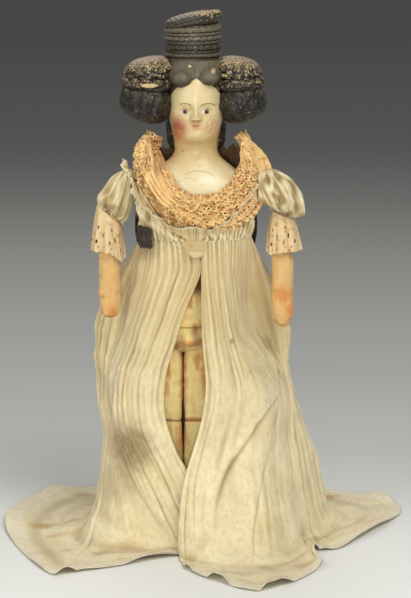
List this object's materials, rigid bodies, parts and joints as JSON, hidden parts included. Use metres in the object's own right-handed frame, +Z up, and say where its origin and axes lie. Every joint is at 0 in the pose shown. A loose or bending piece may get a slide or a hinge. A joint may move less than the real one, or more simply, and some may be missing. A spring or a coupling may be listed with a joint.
{
  "type": "papier-mache doll",
  "caption": "Standing lady doll: papier-mache shoulder head with modelled hair, stuffed muslin body with swinging arms and legs, long open-fronted muslin gown with lace bertha.",
  "frame": {"origin": "on the floor, under the middle of the spread hem's box", "axes": "+Z up along the standing doll, -Y the way the face looks, +X to the doll's left hand"},
  "size_m": [0.3485, 0.3607, 0.4525],
  "materials": {
    "painted_flesh": "papier-mache, painted flesh colour and varnished, yellowed and finely crazed",
    "painted_hair": "papier-mache, painted glossy black, worn and chipped to the tan ground on its ridges",
    "peg_wood": "plain whittled softwood",
    "stuffed_muslin": "close cotton stuffed with sawdust and bran, tanned and rust stained",
    "gown_muslin": "thin soft cotton muslin, greyed and yellowed",
    "eyelet_cotton": "cotton with worked eyelet holes and a scalloped edge",
    "aged_lace": "cotton net lace, browned with age"
  },
  "bodies": {
    "body_and_gown": {"torso": "stuffed_muslin", "head_front_half": "painted_flesh", "head_back_half": "painted_flesh", "right_side_curls": "painted_hair", "left_side_curls": "painted_hair", "right_brow_roll": "painted_hair", "left_brow_roll": "painted_hair", "plaited_topknot": "painted_hair", "topknot_peg": "peg_wood", "bodice": "gown_muslin", "waist_casing": "gown_muslin", "front_neck_frill": "gown_muslin", "back_neck_frill": "gown_muslin", "placket_tab": "gown_muslin", "lace_bertha": "aged_lace", "skirt_right_breadth": "gown_muslin", "skirt_back_breadth": "gown_muslin", "skirt_left_breadth": "gown_muslin"},
    "right_arm_body": {"right_arm": "stuffed_muslin", "right_sleeve": "gown_muslin", "right_cuff": "eyelet_cotton"},
    "left_arm_body": {"left_arm": "stuffed_muslin", "left_sleeve": "gown_muslin", "left_cuff": "eyelet_cotton"},
    "right_thigh_body": {"right_thigh": "stuffed_muslin"},
    "left_thigh_body": {"left_thigh": "stuffed_muslin"},
    "right_shin_body": {"right_shin": "stuffed_muslin"},
    "left_shin_body": {"left_shin": "stuffed_muslin"}
  },
  "joints": [
    {"name": "right_shoulder", "type": "hinge", "parent": "body_and_gown", "child": "right_arm_body", "pos_m": [-0.081, 0, 0.2816], "axis": [-1, 0, 0], "range_deg": [0, 110]},
    {"name": "left_shoulder", "type": "hinge", "parent": "body_and_gown", "child": "left_arm_body", "pos_m": [0.065, 0, 0.2816], "axis": [-1, 0, 0], "range_deg": [0, 110]},
    {"name": "right_hip", "type": "hinge", "parent": "body_and_gown", "child": "right_thigh_body", "pos_m": [-0.0367, -0.008, 0.158], "axis": [-1, 0, 0], "range_deg": [-15, 4]},
    {"name": "left_hip", "type": "hinge", "parent": "body_and_gown", "child": "left_thigh_body", "pos_m": [-0.0013, -0.008, 0.158], "axis": [-1, 0, 0], "range_deg": [-15, 4]},
    {"name": "right_knee", "type": "hinge", "parent": "right_thigh_body", "child": "right_shin_body", "pos_m": [-0.0367, -0.0245, 0.1066], "axis": [1, 0, 0], "range_deg": [0, 30]},
    {"name": "left_knee", "type": "hinge", "parent": "left_thigh_body", "child": "left_shin_body", "pos_m": [-0.0013, -0.0245, 0.1066], "axis": [1, 0, 0], "range_deg": [0, 30]}
  ]
}
